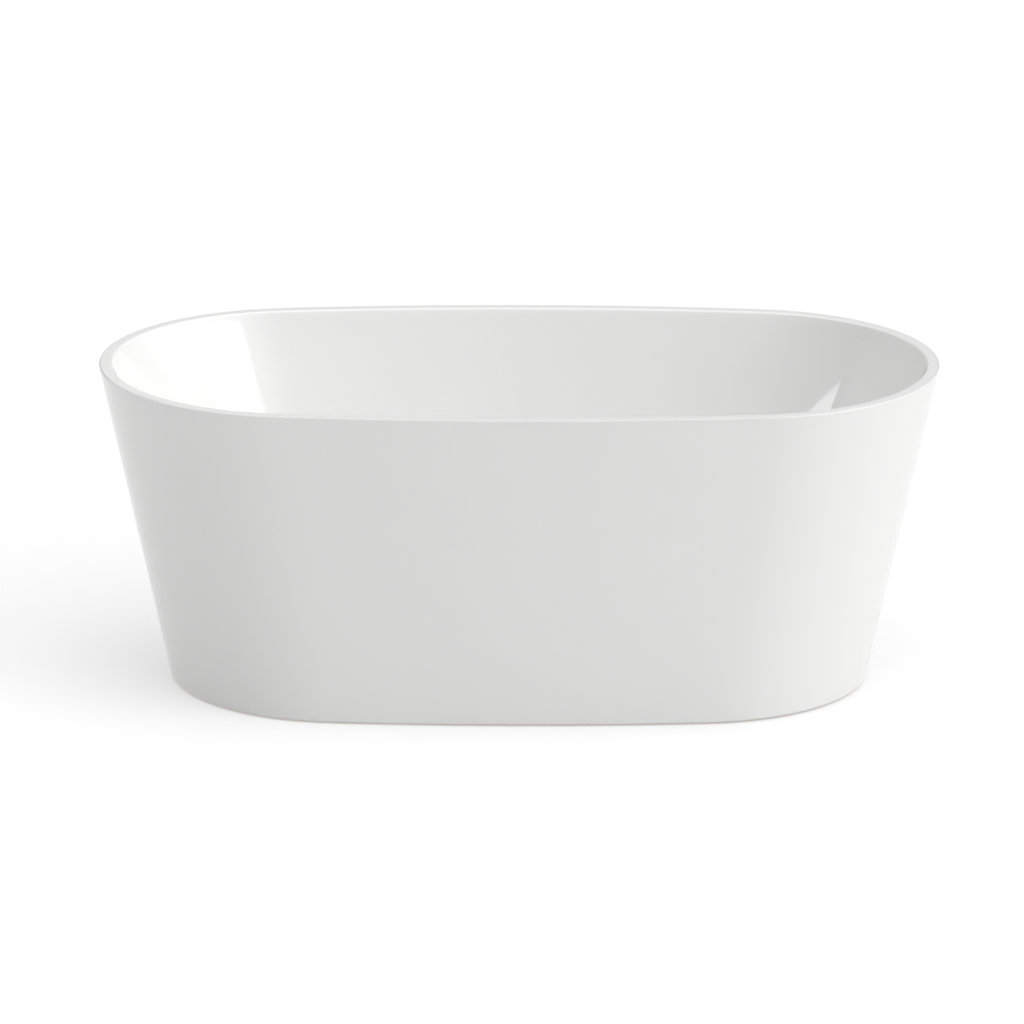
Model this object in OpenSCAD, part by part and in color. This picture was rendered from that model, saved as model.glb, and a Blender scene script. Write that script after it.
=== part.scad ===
// Freestanding double-skin bathtub.
// A glossy basin shell and an outer skirt are bonded at the rim. The basin floor stands on a
// bolted tube frame with five screw feet. A press-to-open waste sits in the middle of the floor,
// and an overflow in the front wall is piped to it between the two skins.
// Origin: middle of the footprint, on the room floor. X runs along the tub, -Y is the front.

/* [Overall] */
// Length of the rim
tub_l = 1500; // [1200:10:1800]
// Width of the rim
tub_w = 750; // [650:10:900]
// Height of the rim above the room floor
tub_h = 580; // [480:5:700]
// Length of the skirt at its foot
base_l = 1250; // [1040:10:1500]
// Width of the skirt at its foot
base_w = 650; // [540:10:780]
// Plan radius of the long sides
side_r = 4000; // [3000:100:6000]
// Gap between the skirt and the room floor
skirt_gap = 4; // [2:0.5:5]

/* [Shells] */
// Wall thickness of the basin shell
shell_t = 8; // [5:0.5:10]
// Wall thickness of the outer skirt
skirt_t = 6; // [4:0.5:8]
// Width of the flat rim, outer face to basin wall
rim_w = 24; // [20:1:30]
// Radius of the rim's outer edge
rim_outer_r = 3; // [1:0.5:4]
// Radius of the rim's inner edge
rim_inner_r = 5; // [2:0.5:8]
// Thickness of the adhesive between rim and skirt
bond_t = 1.5; // [1:0.5:2]
// Height of the stiffener ring round the skirt's foot
stiffener_h = 30; // [20:1:40]
// Thickness of the stiffener ring
stiffener_t = 15; // [10:1:20]

/* [Basin] */
// Height of the basin floor above the room floor
floor_h = 150; // [140:1:190]
// Length of the flat part of the basin floor
floor_l = 860; // [700:10:1000]
// Width of the flat part of the basin floor
floor_w = 300; // [240:10:340]
// Share of the wall's inset that its straight part takes
wall_share = 0.55; // [0.45:0.01:0.65]
// Height of the curve between wall and floor
floor_curve_h = 85; // [60:5:110]

/* [Frame] */
// Thickness of the base board under the basin floor
board_t = 18; // [12:1:20]
// Length of the base board
board_l = 780; // [600:10:850]
// Width of the base board
board_w = 270; // [220:10:290]
// Side of the square steel tube
tube_s = 25; // [20:1:28]
// Wall thickness of the steel tube
tube_t = 1.5; // [1:0.1:2.5]
// Distance between the two rails, centre to centre
rail_gap = 200; // [150:5:220]
// Distance of the end crossbars from the middle
bar_x = 330; // [250:5:370]
// Distance of the middle crossbar from the waste
mid_bar_x = 130; // [90:5:180]
// Length of crossbar past the outer feet, for the strap's screw
bar_over = 50; // [45:1:60]

/* [Feet] */
// Distance of the outer feet from the tub's centre line
foot_y = 165; // [150:5:200]
// Thread diameter of a foot's stud
stud_d = 12; // [8:1:16]
// Height of a foot pad
pad_h = 14; // [10:1:18]
// Diameter of a foot pad
pad_d = 50; // [36:1:60]
// Radial clearance between a moving shaft and its hole
running_gap = 0.05; // [0.02:0.01:0.1]

/* [Waste] */
// Diameter of the waste's threaded tail
tail_d = 46; // [40:0.5:50]
// Diameter of the waste's visible flange
flange_d = 70; // [64:1:80]
// Diameter of the plug cap
cap_d = 62; // [58:1:64]
// How far the plug rises
plug_travel = 9; // [6:0.5:9]
// Outside diameter of the tailpiece that enters the building's drain
outlet_d = 38.1; // [32:0.1:40]

/* [Overflow] */
// Height of the overflow's centre below the rim
overflow_drop = 118; // [100:1:150]
// Diameter of the overflow cover
cover_d = 60; // [54:1:66]
// Outside diameter of the overflow hose
hose_d = 26; // [24:0.5:28]
// Bend radius of the overflow hose
hose_bend = 80; // [60:5:100]

/* [Hidden] */
$fn = 64;
end_steps = 28;                       // facets on an end arc
side_steps = 8;                       // facets on a long side
glue = 0.3;                           // clearance that glue or sealant fills
wall_glue = 0.8;                      // glue line between the skirt and what is bonded into it
seat = 0.1;                           // clearance where a part is pushed into another
eps = 0.01;

top_z = tub_h - shell_t - bond_t;     // top edge of the skirt
in_a = tub_l / 2 - rim_w;             // basin's half length at the rim
in_b = tub_w / 2 - rim_w;
wall_top = tub_h - rim_inner_r;       // where the basin wall starts under the rim's inner edge
curve_top = floor_h + floor_curve_h;  // where the wall's straight part ends
curve_mid = wall_share * (wall_top - floor_h) / (wall_top - curve_top);
under = floor_h - shell_t;            // underside of the basin floor
board_z = under - board_t;
rail_z = board_z - tube_s;
bar_z = rail_z - tube_s;
bar_l = 2 * (foot_y + bar_over);
feet = [[-bar_x, -foot_y], [bar_x, -foot_y], [bar_x, foot_y], [-bar_x, foot_y], [-mid_bar_x, 0]];
bars = [-bar_x, -mid_bar_x, bar_x];
nut_h = 10;
nut_af = 19;
bolt_d = 8;
bracket_t = 3;
strap_start = foot_y + nut_af / 2 / cos(30) + 3;
screw_y = strap_start + 10;
bracket_w = 25;
block_t = 22;

// Waste, from the flange down
gasket_t = 1.5;
flange_t = 2.5;
flange_z = floor_h + gasket_t;
tail_end = floor_h - 50;              // lower end of the flange's tail
tail_wall = 3;
boss_h = 8;
boss_z = tail_end + 4;
cart_z = boss_z + boss_h;             // underside of the click cartridge
cart_d = 22;
cart_wall = 2;
cart_h = flange_z - 5.5 - cart_z;
stem_d = 8;
piston_h = 4;
piston_top = cart_z + cart_h - 2.5 - 0.5;
rotor_h = 6;
seal_t = 2;
plug_z = flange_z + flange_t;         // where the closed plug's seal rests
cap_z = plug_z + plug_travel;         // where it stands with the plug raised
low_gasket_t = 3;
back_nut_h = 12;

// Tee and tailpiece
socket_z = tail_end - 2;              // shoulder that the tail stops on
socket_top = tail_end + 10;
socket_d = tail_d + 8;
tee_washer_t = 2;
inlet_z = socket_z - 17;              // overflow inlet's centre
tee_end = socket_z - 46;
outlet_top = tee_end + 18;
outlet_z = 6;
bead_z = tee_end - 10;                // stop bead just under the tail nut
spigot_d = hose_d - 6;
inlet_l = 62;                         // reach of the inlet spigot from the waste's axis
grip = 24;                            // length of hose pushed over a spigot

// Overflow, in a frame whose Z is the wall's inward normal and whose Y runs down the wall
overflow_z = tub_h - overflow_drop;
wall_tilt = atan(wall_share * (in_b - floor_w / 2) / (wall_top - curve_top));
overflow_y = in_b - tan(wall_tilt) * (wall_top - overflow_z);
hole_d = 44;
foam_t = 3;
cup_d = 24;                           // depth of the overflow body behind the wall
cup_z = -shell_t - foam_t - cup_d;
spigot_y = 34;                        // where the spigot leaves the body
spigot_l = 30;

// ---- outlines and lofts ----

// End radius of a four-arc oval with half sizes a and b whose long sides have radius r
function end_r(a, b, r) = (a * a + b * b - 2 * b * r) / (2 * (a - r));

// Points of that oval at height z, the same number on each arc for every size
function oval(a, b, z, r = side_r) =
    let (e = end_r(a, b, r), t = atan2(r - b, a - e), s = 180 - 2 * t)
    concat(
        [for (i = [0:end_steps - 1]) let (q = -t + 2 * t * i / end_steps)
            [a - e + e * cos(q), e * sin(q), z]],
        [for (i = [0:side_steps - 1]) let (q = t + s * i / side_steps)
            [r * cos(q), b - r + r * sin(q), z]],
        [for (i = [0:end_steps - 1]) let (q = 180 - t + 2 * t * i / end_steps)
            [e - a + e * cos(q), e * sin(q), z]],
        [for (i = [0:side_steps - 1]) let (q = 180 + t + s * i / side_steps)
            [r * cos(q), r - b + r * sin(q), z]]);

// The skirt's outer face is ruled between the foot's outline and the rim's, so its walls are
// straight. This is a station on it, pulled in by an inset.
skirt_top = tub_h - rim_outer_r;
function share(z) = (z - skirt_gap) / (skirt_top - skirt_gap);
function skirt_a(z) = base_l / 2 + (tub_l - base_l) / 2 * share(z);
function skirt_b(z) = base_w / 2 + (tub_w - base_w) / 2 * share(z);
function skirt_ring(z, inset = 0) =
    let (p = oval(base_l / 2 - inset, base_w / 2 - inset, skirt_gap),
         q = oval(tub_l / 2 - inset, tub_w / 2 - inset, skirt_top), t = share(z))
    [for (i = [0:len(p) - 1]) p[i] + (q[i] - p[i]) * t];

// Skins a list of rings. A closed skin joins the last ring to the first; an open one is capped.
module skin(rings, closed = false) {
    n = len(rings[0]);
    m = len(rings);
    last = closed ? m - 1 : m - 2;
    sides = [for (k = [0:last], i = [0:n - 1])
        let (k2 = (k + 1) % m, j = (i + 1) % n)
        each [[k * n + i, k2 * n + j, k * n + j], [k * n + i, k2 * n + i, k2 * n + j]]];
    caps = closed ? [] : [[for (i = [0:n - 1]) i], [for (i = [n - 1:-1:0]) (m - 1) * n + i]];
    polyhedron(points = [for (r = rings) each r], faces = concat(sides, caps));
}

// Solid bounded by the skirt's outer face less an inset, between two heights
module skirt_core(z0, z1, inset) {
    skin([skirt_ring(z0, inset), skirt_ring(z1, inset)]);
}

// ---- basin ----

// The basin's inside profile as [share of the full inset, height], from the rim down
wall_steps = 4;
curve_steps = 7;
profile = concat(
    [for (i = [0:wall_steps]) [wall_share * i / wall_steps,
        wall_top - (wall_top - curve_top) * i / wall_steps]],
    [for (i = [1:curve_steps]) let (t = i / curve_steps, u = 1 - t)
        [u * u * wall_share + 2 * u * t * curve_mid + t * t,
         u * u * curve_top + (1 - u * u) * floor_h]]);
function basin_a(s) = in_a - s * (in_a - floor_l / 2);
function basin_b(s) = in_b - s * (in_b - floor_w / 2);

// Slope of the profile at station i: 0 on a vertical wall, 90 on the flat floor
function slope(i) =
    i == len(profile) - 1 ? 90 :
    let (p = profile[max(i - 1, 0)], q = profile[i + 1])
    atan((q[0] - p[0]) * (in_b - floor_w / 2) / (p[1] - q[1]));

module basin_shell() color("white") {
    inside = [for (p = profile) oval(basin_a(p[0]), basin_b(p[0]), p[1])];
    outside = [for (i = [len(profile) - 1:-1:0]) let (p = profile[i], f = slope(i))
        if (p[1] - shell_t * sin(f) < tub_h - shell_t - 6)
        oval(basin_a(p[0]) + shell_t * cos(f), basin_b(p[0]) + shell_t * cos(f),
             p[1] - shell_t * sin(f))];
    flange_z = tub_h - shell_t;
    out_w = shell_t + 2;
    rim = concat(
        [oval(in_a + out_w, in_b + out_w, flange_z), skirt_ring(flange_z)],
        [for (q = [0:30:90]) let (r = rim_outer_r, out = r - r * cos(q))
            oval(tub_l / 2 - out, tub_w / 2 - out, tub_h - r + r * sin(q))],
        [for (q = [0:30:60]) let (r = rim_inner_r, z = tub_h - r + r * cos(q))
            oval(in_a + r - r * sin(q), in_b + r - r * sin(q), z)]);
    difference() {
        skin(concat(outside, rim, inside));
        translate([0, 0, under - 1])
            cylinder(d = tail_d + 2, h = shell_t + 2);
        at_overflow()
            translate([0, 0, -shell_t - 12])
                cylinder(d = hole_d, h = shell_t + 30);
    }
}

// ---- skirt ----

// Levels that the skirt's inside face and the blocks' outside faces share, so that their facets match
block_low = bar_z - 12;
block_high = bar_z + 55;

module outer_skirt() color("white") {
    r = 3;
    skin(closed = true, rings = concat(
        [for (q = [90:-30:0]) skirt_ring(skirt_gap + r - r * sin(q), r - r * cos(q))],
        [skirt_ring(top_z), skirt_ring(top_z, skirt_t), skirt_ring(block_high, skirt_t),
         skirt_ring(block_low, skirt_t), skirt_ring(skirt_gap, skirt_t)]));
}

module rim_bond() color("ivory") {
    gap = glue / 3;
    skin(closed = true, rings = [
        skirt_ring(top_z + gap), skirt_ring(tub_h - shell_t - gap),
        skirt_ring(tub_h - shell_t - gap, skirt_t), skirt_ring(top_z + gap, skirt_t)]);
}

module skirt_stiffener() color("burlywood") {
    z0 = skirt_gap + 4;
    z1 = z0 + stiffener_h;
    i0 = skirt_t + wall_glue;
    skin(closed = true, rings = [
        skirt_ring(z0, i0), skirt_ring(z1, i0),
        skirt_ring(z1, i0 + stiffener_t), skirt_ring(z0, i0 + stiffener_t)]);
}

// Half width of an oval at a distance x from its middle
function oval_y(a, b, x) =
    let (e = end_r(a, b, side_r), c = a - e)
    abs(x) > c ? sqrt(e * e - pow(abs(x) - c, 2)) : b - side_r + sqrt(side_r * side_r - x * x);
block_w = 60;
// Inside face of the skirt where the blocks stand
block_y = oval_y(skirt_a(bar_z), skirt_b(bar_z), bar_x + block_w / 2) - skirt_t - wall_glue;

module at_brackets() {
    for (sx = [-1, 1], sy = [-1, 1])
        translate([sx * bar_x, 0, 0]) mirror([0, sy < 0 ? 1 : 0, 0]) children();
}

module skirt_blocks() color("burlywood") difference() {
    intersection() {
        skirt_core(block_low, block_high, skirt_t + wall_glue);
        at_brackets()
            translate([-block_w / 2, block_y - block_t, bar_z - 10])
                cube([block_w, block_t + 30, 60]);
    }
    at_brackets() translate([0, block_y - block_t - 1, bar_z + tube_s + 16]) rotate([-90, 0, 0])
        cylinder(d = 4 + 2 * seat, h = 16);
}

// ---- frame ----

module base_board() color("peru") difference() {
    translate([0, 0, board_z])
        linear_extrude(board_t - glue / 3) rounded_slab(board_l, board_w, 40);
    translate([0, 0, board_z - 1]) cylinder(d = flange_d + 30, h = board_t + 2);
    at_screws() translate([0, 0, board_z - 1]) cylinder(d = 5 + 2 * seat, h = 14);
}

// Rectangle with round corners, from plain shapes so that its corners stay true arcs
module rounded_slab(l, w, r) {
    square([l - 2 * r, w], center = true);
    square([l, w - 2 * r], center = true);
    for (x = [-1, 1], y = [-1, 1]) translate([x * (l / 2 - r), y * (w / 2 - r)]) circle(r);
}

screw_xs = [-board_l / 2 + 30, -board_l / 6 - 20, board_l / 6 + 20, board_l / 2 - 30];
module at_screws() {
    for (x = screw_xs, y = [-1, 1]) translate([x, y * rail_gap / 2, 0]) children();
}
module at_crossings() {
    for (x = bars, y = [-1, 1]) translate([x, y * rail_gap / 2, 0]) children();
}
module at_feet() {
    for (f = feet) translate([f[0], f[1], 0]) children();
}

// Square tube along X, its underside at z = 0
module tube_x(l) difference() {
    translate([-l / 2, -tube_s / 2, 0]) cube([l, tube_s, tube_s]);
    translate([-l / 2 - 1, tube_t - tube_s / 2, tube_t])
        cube([l + 2, tube_s - 2 * tube_t, tube_s - 2 * tube_t]);
}

module rail(side) color("dimgray") difference() {
    translate([0, side * rail_gap / 2, rail_z]) tube_x(board_l);
    at_screws() translate([0, 0, rail_z - 1]) cylinder(d = 5.5, h = tube_s + 2);
    at_crossings() translate([0, 0, rail_z - 1]) cylinder(d = bolt_d + 2 * seat, h = tube_t + 2);
}

module crossbar(x) color("dimgray") difference() {
    translate([x, 0, bar_z]) rotate([0, 0, 90]) tube_x(bar_l);
    at_crossings() translate([0, 0, bar_z - 1]) cylinder(d = bolt_d + 2 * seat, h = tube_s + 2);
    at_feet() translate([0, 0, bar_z - 1]) cylinder(d = stud_d + 2, h = tube_s + 2);
    at_brackets() translate([0, screw_y, bar_z + tube_s - 5])
        cylinder(d = 5 + 2 * seat, h = 10);
}

// Moulded caps pushed into the open ends of the tubes
module tube_cap() {
    w = tube_s - 2 * tube_t - 2 * seat;
    translate([0, -tube_s / 2, 0]) cube([2, tube_s, tube_s]);
    translate([-12, -w / 2, tube_s / 2 - w / 2]) cube([12, w, w]);
}
module tube_caps() color("black") {
    for (y = [-1, 1], e = [0, 180])
        translate([0, y * rail_gap / 2, rail_z]) rotate([0, 0, e])
            translate([board_l / 2, 0, 0]) tube_cap();
    for (x = bars, e = [90, -90])
        translate([x, 0, bar_z]) rotate([0, 0, e]) translate([bar_l / 2, 0, 0]) tube_cap();
}

module hex(af, h) cylinder(d = af / cos(30), h = h, $fn = 6);

module frame_bolts() color("silver") at_crossings() {
    translate([0, 0, bar_z - 5.3]) hex(13, 5.3);
    translate([0, 0, bar_z - eps]) cylinder(d = bolt_d, h = tube_s + tube_t + 8);
}

module board_screws() color("silver") at_screws() {
    translate([0, 0, rail_z - 3]) cylinder(d = 10, h = 3);
    translate([0, 0, rail_z - eps]) cylinder(d = 5, h = tube_s + 12);
}

// Flat strap from the crossbar's top to the timber block, turned up against the block
strap_end = block_y - block_t - seat;
module skirt_brackets() color("silver") at_brackets() difference() {
    union() {
        translate([-bracket_w / 2, strap_start, bar_z + tube_s + seat])
            cube([bracket_w, strap_end - strap_start, bracket_t]);
        translate([-bracket_w / 2, strap_end - bracket_t, bar_z + tube_s + seat])
            cube([bracket_w, bracket_t, 24]);
    }
    translate([0, screw_y, bar_z + tube_s]) cylinder(d = 5 + 2 * seat, h = 10);
    translate([0, strap_end + 1, bar_z + tube_s + 16]) rotate([90, 0, 0])
        cylinder(d = 4 + 2 * seat, h = 10);
}

module bracket_screws() color("silver") at_brackets() {
    translate([0, screw_y, bar_z + tube_s + seat + bracket_t]) {
        cylinder(d = 9, h = 3);
        translate([0, 0, -bracket_t - 4]) cylinder(d = 5, h = bracket_t + 4 + eps);
    }
    translate([0, strap_end - bracket_t, bar_z + tube_s + 16]) rotate([90, 0, 0]) {
        cylinder(d = 8, h = 2.5);
        translate([0, 0, -bracket_t - 14]) cylinder(d = 4, h = bracket_t + 14 + eps);
    }
}

module ring_nut(af, bore, h) difference() {
    hex(af, h);
    translate([0, 0, -1]) cylinder(d = bore, h = h + 2);
}
module weld_nuts() color("silver") at_feet()
    translate([0, 0, bar_z + tube_s + eps]) ring_nut(nut_af, stud_d + 2 * running_gap, nut_h);
module lock_nuts() color("silver") at_feet()
    translate([0, 0, bar_z - nut_h - eps]) ring_nut(nut_af, stud_d + 2 * running_gap, nut_h);

// ---- feet ----

pad_floor = 4;                        // plastic left under the stud
stud_top = board_z - 4;
module foot_pad(f) color("black") translate([f[0], f[1], 0]) difference() {
    rotate_extrude() polygon([
        [0, 0], [pad_d / 2 - 1, 0], [pad_d / 2, 1], [pad_d / 2, 5],
        [stud_d / 2 + 6, pad_h - 2], [stud_d / 2 + 5, pad_h], [0, pad_h]]);
    translate([0, 0, pad_floor]) cylinder(r = stud_d / 2 + running_gap, h = pad_h);
}
module foot_stud(f) color("silver") translate([f[0], f[1], 0]) {
    translate([0, 0, pad_floor + 0.05]) cylinder(d = stud_d, h = stud_top - pad_floor - 0.05);
    translate([0, 0, pad_h + 0.3]) hex(17, 6);
}

// ---- waste ----

module pipe(do, di, h) difference() {
    cylinder(d = do, h = h);
    translate([0, 0, -1]) cylinder(d = di, h = h + 2);
}

module waste_flange() color("gainsboro") {
    difference() {
        rotate_extrude() polygon([
            [tail_d / 2 - tail_wall, tail_end], [tail_d / 2, tail_end], [tail_d / 2, flange_z],
            [flange_d / 2, flange_z], [flange_d / 2, flange_z + 1], [flange_d / 2 - 2, plug_z],
            [tail_d / 2 - tail_wall + 2, plug_z], [tail_d / 2 - tail_wall, plug_z - 2]]);
        for (a = [0:90:270]) rotate([0, 0, a + 45])
            translate([tail_d / 2 - tail_wall - 1, -4, cart_z + 8])
                cube([tail_wall + 2, 8, 12]);
    }
    difference() {
        union() {
            translate([0, 0, boss_z]) cylinder(d = 14, h = boss_h);
            for (a = [0, 90]) rotate([0, 0, a])
                translate([-tail_d / 2 + 1, -1.5, boss_z]) cube([tail_d - 2, 3, boss_h - 2]);
        }
        translate([0, 0, boss_z - 1]) cylinder(d = 8 + 2 * seat, h = boss_h + 2);
    }
}

module flange_gasket() color("black")
    translate([0, 0, floor_h + eps]) pipe(flange_d - 4, tail_d + 2 * seat, gasket_t - 2 * eps);
module lower_gasket() color("black")
    translate([0, 0, under - low_gasket_t]) pipe(tail_d + 18, tail_d + 2 * seat, low_gasket_t - eps);
module back_nut() color("gainsboro")
    translate([0, 0, under - low_gasket_t - back_nut_h - eps]) difference() {
        union() {
            cylinder(d = tail_d + 12, h = back_nut_h);
            for (a = [0:60:300]) rotate([0, 0, a])
                translate([tail_d / 2 + 4, -4, 0]) cube([6, 8, back_nut_h]);
        }
        translate([0, 0, -1]) cylinder(d = tail_d + 2 * seat, h = back_nut_h + 2);
    }

module plug_cap() color("gainsboro") difference() {
    rotate_extrude() polygon(concat(
        [[0, cap_z + seal_t + 0.1], [cap_d / 2 - 1, cap_z + seal_t + 0.1]],
        [[cap_d / 2, cap_z + seal_t + 1.1], [cap_d / 2, cap_z + seal_t + 2.6]],
        [for (q = [0:15:90]) [(cap_d / 2 - 2) + 2 * cos(q) - (q == 90 ? cap_d / 2 - 2 : 0),
            cap_z + seal_t + 2.6 + 1.6 * sin(q) + (q == 90 ? 0.6 : 0)]]));
    translate([0, 0, cap_z]) cylinder(d = 6 + 2 * seat, h = seal_t + 3);
}
module plug_seal() color("black")
    translate([0, 0, cap_z + 0.1]) pipe(cap_d - 6, 40, seal_t - 0.1);
module plug_stem() color("silver") {
    translate([0, 0, cap_z + seal_t]) cylinder(d = 6, h = 2.9);
    translate([0, 0, piston_top - piston_h])
        cylinder(d = stem_d, h = cap_z + seal_t - piston_top + piston_h + eps);
    translate([0, 0, piston_top - piston_h])
        cylinder(d = cart_d - 2 * cart_wall - 0.4, h = piston_h);
}
module plug_rotor() color("white") {
    z = piston_top - piston_h - rotor_h - 0.1;
    difference() {
        union() {
            translate([0, 0, z]) cylinder(d = cart_d - 2 * cart_wall - 2, h = rotor_h);
            for (a = [0:90:270]) rotate([0, 0, a])
                translate([cart_d / 2 - cart_wall - 3, -1.2, z + 1]) cube([2.5, 2.4, rotor_h - 2]);
        }
        translate([0, 0, z - 1]) cylinder(d = 5, h = rotor_h - 1);
    }
}
spring_top = piston_top - piston_h - rotor_h - 0.2;
spring_z = cart_z + 2.1;
module plug_spring() color("silver") {
    wire = 1.1;
    turns = 3.5;
    r = cart_d / 2 - cart_wall - 2.2;
    steps = 16 * turns;
    sides = 8;
    h = spring_top - spring_z - wire;
    skin([for (k = [0:steps]) let (a = 360 * turns * k / steps)
        [for (i = [0:sides - 1]) let (q = 360 * i / sides, c = r + wire / 2 * cos(q))
            [c * cos(a), c * sin(a), spring_z + wire / 2 + h * k / steps + wire / 2 * sin(q)]]]);
}
module plug_cartridge() color("white") difference() {
    union() {
        translate([0, 0, cart_z + eps]) cylinder(d = cart_d, h = cart_h);
        translate([0, 0, boss_z - 2]) cylinder(d = 8, h = boss_h + 3);
    }
    translate([0, 0, cart_z + 2]) cylinder(d = cart_d - 2 * cart_wall, h = cart_h - 4.5);
    translate([0, 0, cart_z + cart_h - 3]) cylinder(d = stem_d + 2 * seat, h = 5);
}

module waste_tee() color("white") difference() {
    union() {
        translate([0, 0, socket_z - 4]) cylinder(d = socket_d, h = socket_top - socket_z + 4);
        translate([0, 0, tee_end]) cylinder(d = outlet_d + 9, h = socket_z - tee_end);
        translate([0, -inlet_l, inlet_z]) rotate([-90, 0, 0]) cylinder(d = spigot_d, h = inlet_l);
    }
    translate([0, 0, socket_z]) cylinder(d = tail_d + 2 * seat, h = socket_top);
    translate([0, 0, tee_end - 1]) cylinder(d = outlet_d - 3, h = socket_top);
    translate([0, 0, tee_end - 1]) cylinder(d = outlet_d + 2 * seat, h = outlet_top - tee_end + 1);
    translate([0, -inlet_l - 1, inlet_z]) rotate([-90, 0, 0])
        cylinder(d = spigot_d - 4, h = inlet_l + 1);
}

// Union nut: closed side has a lip with a hole, ribs round the outside
module union_nut(bore, lip_bore, h, lip) difference() {
    union() {
        cylinder(d = bore + 8, h = h);
        for (a = [0:45:315]) rotate([0, 0, a]) translate([bore / 2 + 2, -2, 0]) cube([4, 4, h]);
    }
    translate([0, 0, -1]) cylinder(d = bore, h = h - lip + 1);
    translate([0, 0, -1]) cylinder(d = lip_bore, h = h + 2);
}
module tee_nut() color("white") translate([0, 0, socket_top - 13])
    union_nut(socket_d + 2 * seat, tail_d + 0.6, 13 + tee_washer_t + 3.2, 3);
module tee_washer() color("black")
    translate([0, 0, socket_top + eps]) pipe(socket_d - 1, tail_d + 2 * seat, tee_washer_t);
module tailpiece() color("gainsboro") difference() {
    union() {
        translate([0, 0, outlet_z]) cylinder(d = outlet_d, h = outlet_top - outlet_z - 0.5);
        translate([0, 0, bead_z]) cylinder(d = outlet_d + 3, h = 2);
    }
    translate([0, 0, outlet_z - 1]) cylinder(d = outlet_d - 2.6, h = outlet_top);
}
module tail_nut() color("white") translate([0, 0, tee_end + 12]) mirror([0, 0, 1])
    union_nut(outlet_d + 9 + 2 * seat, outlet_d + 0.6, 12 + tee_washer_t + 3.2, 3);
module tail_washer() color("black")
    translate([0, 0, tee_end - tee_washer_t - eps])
        pipe(outlet_d + 8, outlet_d + 2 * seat, tee_washer_t);

// ---- overflow ----

module at_overflow()
    translate([0, -overflow_y, overflow_z]) rotate([wall_tilt - 90, 0, 0]) children();

module overflow_cover() color("gainsboro") at_overflow() difference() {
    rotate_extrude() polygon([
        [0, 3], [cover_d / 2 - 3, 3], [cover_d / 2 - 3, 0.6], [cover_d / 2, 0.6],
        [cover_d / 2, 4.5], [cover_d / 2 - 1.5, 6], [0, 6]]);
    for (x = [-18, 0, 18]) translate([x, cover_d / 2 - 3, 1]) cube([12, 8, 4], center = true);
    for (x = [-18, 18]) translate([x, 0, 0]) cylinder(d = 7, h = 10);
    for (y = [-14, 14]) translate([0, y, 0]) cylinder(d = 7, h = 10);
    cylinder(d = 5 + 2 * seat, h = 10);
}
module overflow_screw() color("silver") at_overflow() {
    translate([0, 0, 6]) cylinder(d = 9, h = 2);
    translate([0, 0, cup_z + 6]) cylinder(d = 5, h = 6 - cup_z - 6 + eps);
}
module overflow_gasket() color("black") at_overflow()
    translate([0, 0, -shell_t - foam_t]) pipe(hole_d + 18, hole_d - 2, foam_t - glue);
module overflow_body() color("white") at_overflow() difference() {
    union() {
        translate([0, 0, cup_z]) cylinder(d = hole_d + 4, h = cup_d - eps);
        translate([0, 0, -shell_t - foam_t - 3]) cylinder(d = hole_d + 18, h = 3 - eps);
        translate([0, 0, cup_z + cup_d / 2]) rotate([-90, 0, 0])
            cylinder(d = spigot_d, h = spigot_y + spigot_l);
    }
    difference() {
        translate([0, 0, cup_z + 2]) cylinder(d = hole_d - 2, h = cup_d);
        translate([0, 0, cup_z + 2]) cylinder(d = 12, h = 14);
    }
    translate([0, 0, cup_z + 5]) cylinder(d = 5 + 2 * seat, h = cup_d);
    translate([0, 8, cup_z + cup_d / 2]) rotate([-90, 0, 0])
        cylinder(d = spigot_d - 4, h = spigot_y + spigot_l);
}

// Hose route in the plane x = 0: straight down the wall, one bend, straight to the tee's inlet
hose_c = -shell_t - foam_t - cup_d / 2;
function wall_point(down, off) = [
    -overflow_y + down * sin(wall_tilt) + off * cos(wall_tilt),
    overflow_z - down * cos(wall_tilt) + off * sin(wall_tilt)];
hose_top = wall_point(spigot_y + spigot_l - grip, hose_c);
turn = 90 - wall_tilt;
drop = hose_bend * (1 - cos(turn));
run = (hose_top[1] - inlet_z - drop) / cos(wall_tilt);
bend_start = [hose_top[0] + run * sin(wall_tilt), hose_top[1] - run * cos(wall_tilt)];
bend_end = [bend_start[0] + hose_bend * sin(turn), inlet_z];

// Stations of the hose's centre line as [y, z, y direction, z direction]
hose_path = concat(
    [[hose_top[0], hose_top[1], cos(turn), -sin(turn)]],
    [for (q = [8:-1:0]) let (a = turn * q / 8)
        [bend_end[0] - hose_bend * sin(a), inlet_z + hose_bend * (1 - cos(a)), cos(a), -sin(a)]],
    [[grip - inlet_l, inlet_z, 1, 0]]);
function hose_ring(p, r) = [for (q = [0:15:345])
    [r * cos(q), p[0] + r * sin(q) * p[3], p[1] - r * sin(q) * p[2]]];
module overflow_hose() color("white") {
    n = len(hose_path) - 1;
    skin(closed = true, rings = concat(
        [for (p = hose_path) hose_ring(p, hose_d / 2)],
        [for (k = [n:-1:0]) hose_ring(hose_path[k], spigot_d / 2 + seat)]));
}

// Worm-drive band
module clamp() {
    pipe(hose_d + 2, hose_d + 2 * seat, 9);
    translate([hose_d / 2 + 0.6, -6, -1]) cube([7, 12, 11]);
}
module clamp_top() color("silver")
    translate([0, hose_top[0], hose_top[1]]) rotate([180 + wall_tilt, 0, 0])
        translate([0, 0, 7]) clamp();
module clamp_bottom() color("silver")
    translate([0, -inlet_l + 7, inlet_z]) rotate([-90, 0, 0]) clamp();

// ---- nodes ----

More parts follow.
